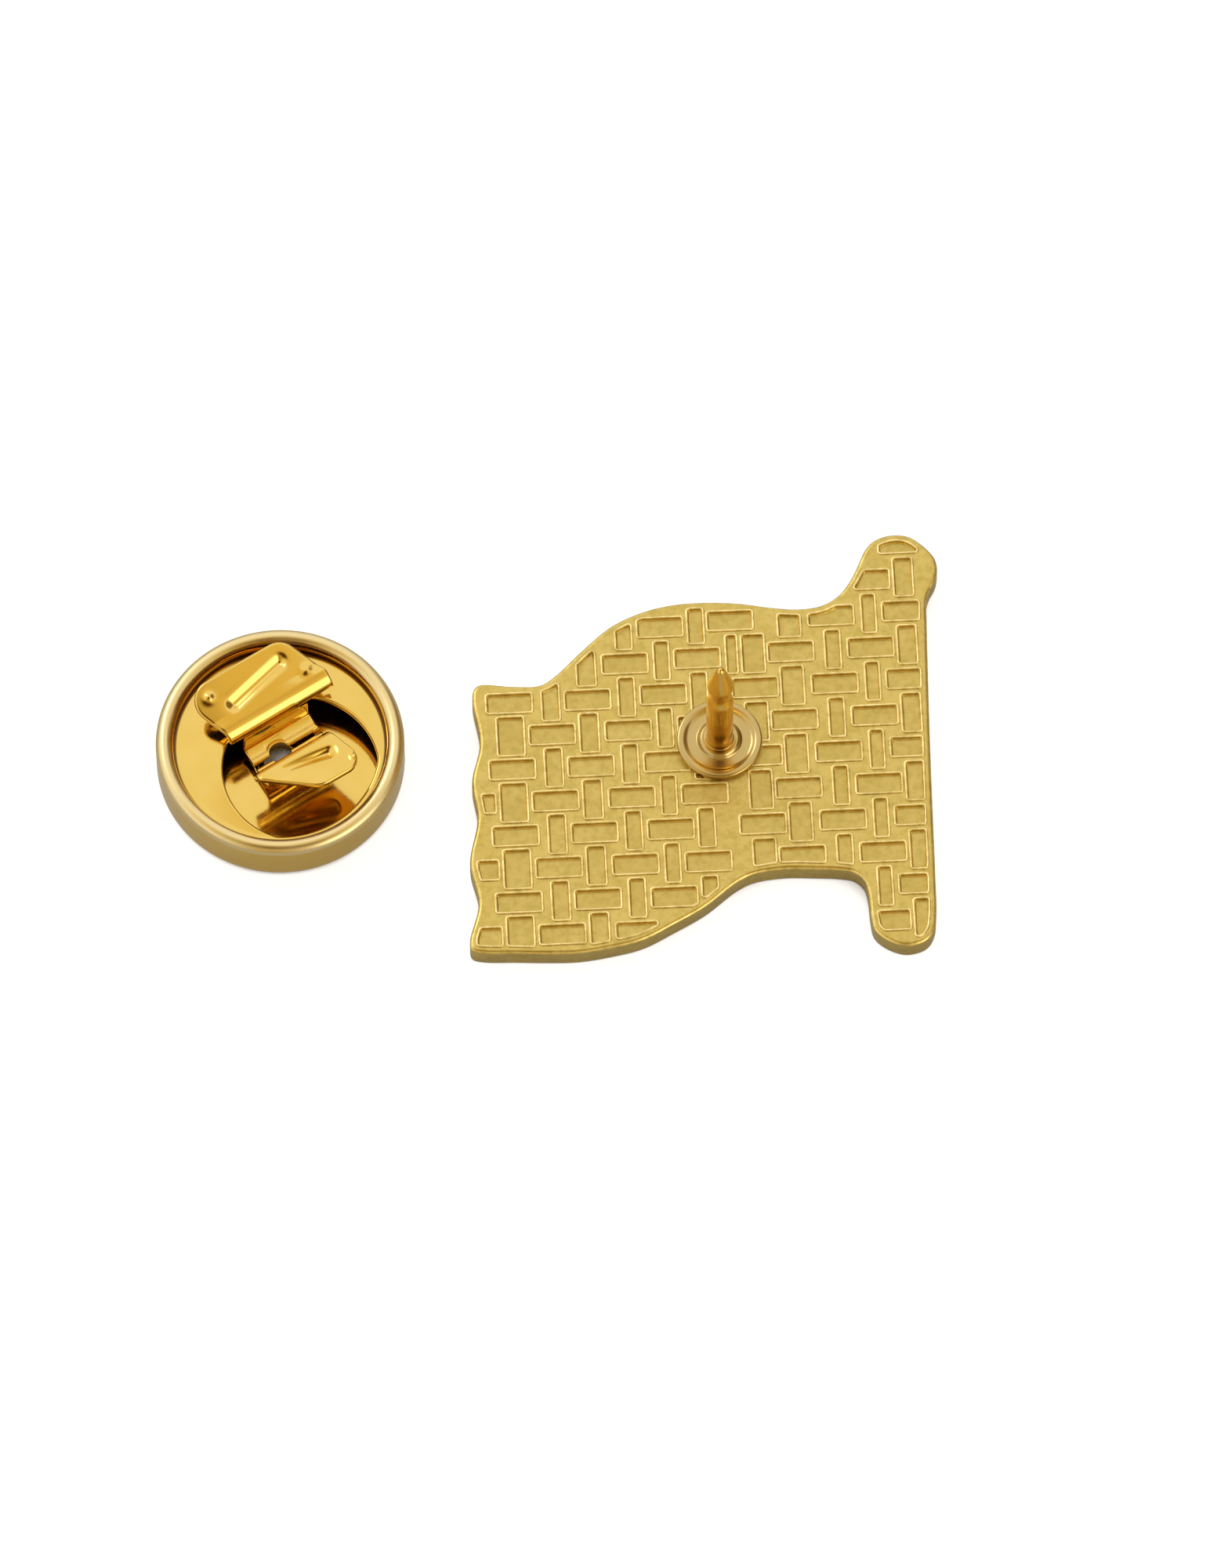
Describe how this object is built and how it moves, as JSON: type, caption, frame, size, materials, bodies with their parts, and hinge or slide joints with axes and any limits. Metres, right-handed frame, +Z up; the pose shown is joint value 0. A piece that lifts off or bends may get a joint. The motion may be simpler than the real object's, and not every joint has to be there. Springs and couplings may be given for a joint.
{
  "type": "flag lapel pin with butterfly clutch",
  "caption": "Gold-plated waving-flag lapel pin lying face down, its woven back and pin post up, beside its loose butterfly clutch with two squeezable wings",
  "frame": {"origin": "on the table under the middle of the box round the badge and its clutch", "axes": "+X from the clutch to the badge, along the badge's lower edge; +Y up the flag's pole; +Z up along the pin post"},
  "size_m": [0.0362, 0.0214, 0.0092],
  "materials": {
    "badge": "satin gold-coloured plating, soft struck relief",
    "clutch": "bright polished gold-coloured plating"
  },
  "bodies": {
    "badge": {"badge": "badge", "clutch_cup": "clutch", "spring_plate": "clutch"},
    "wing_a": {"wing_a": "clutch"},
    "wing_b": {"wing_b": "clutch"}
  },
  "joints": [
    {"name": "wing_a_squeeze", "type": "hinge", "parent": "badge", "child": "wing_a", "pos_m": [-0.01294, 0.0004, 0.00165], "axis": [0.8387, 0.5446, 0], "range_deg": [0, 12], "stiffness_Nm_per_rad": 0.05},
    {"name": "wing_b_squeeze", "type": "hinge", "parent": "badge", "child": "wing_b", "pos_m": [-0.01176, -0.00141, 0.00165], "axis": [-0.8387, -0.5446, 0], "range_deg": [0, 12], "stiffness_Nm_per_rad": 0.05}
  ]
}
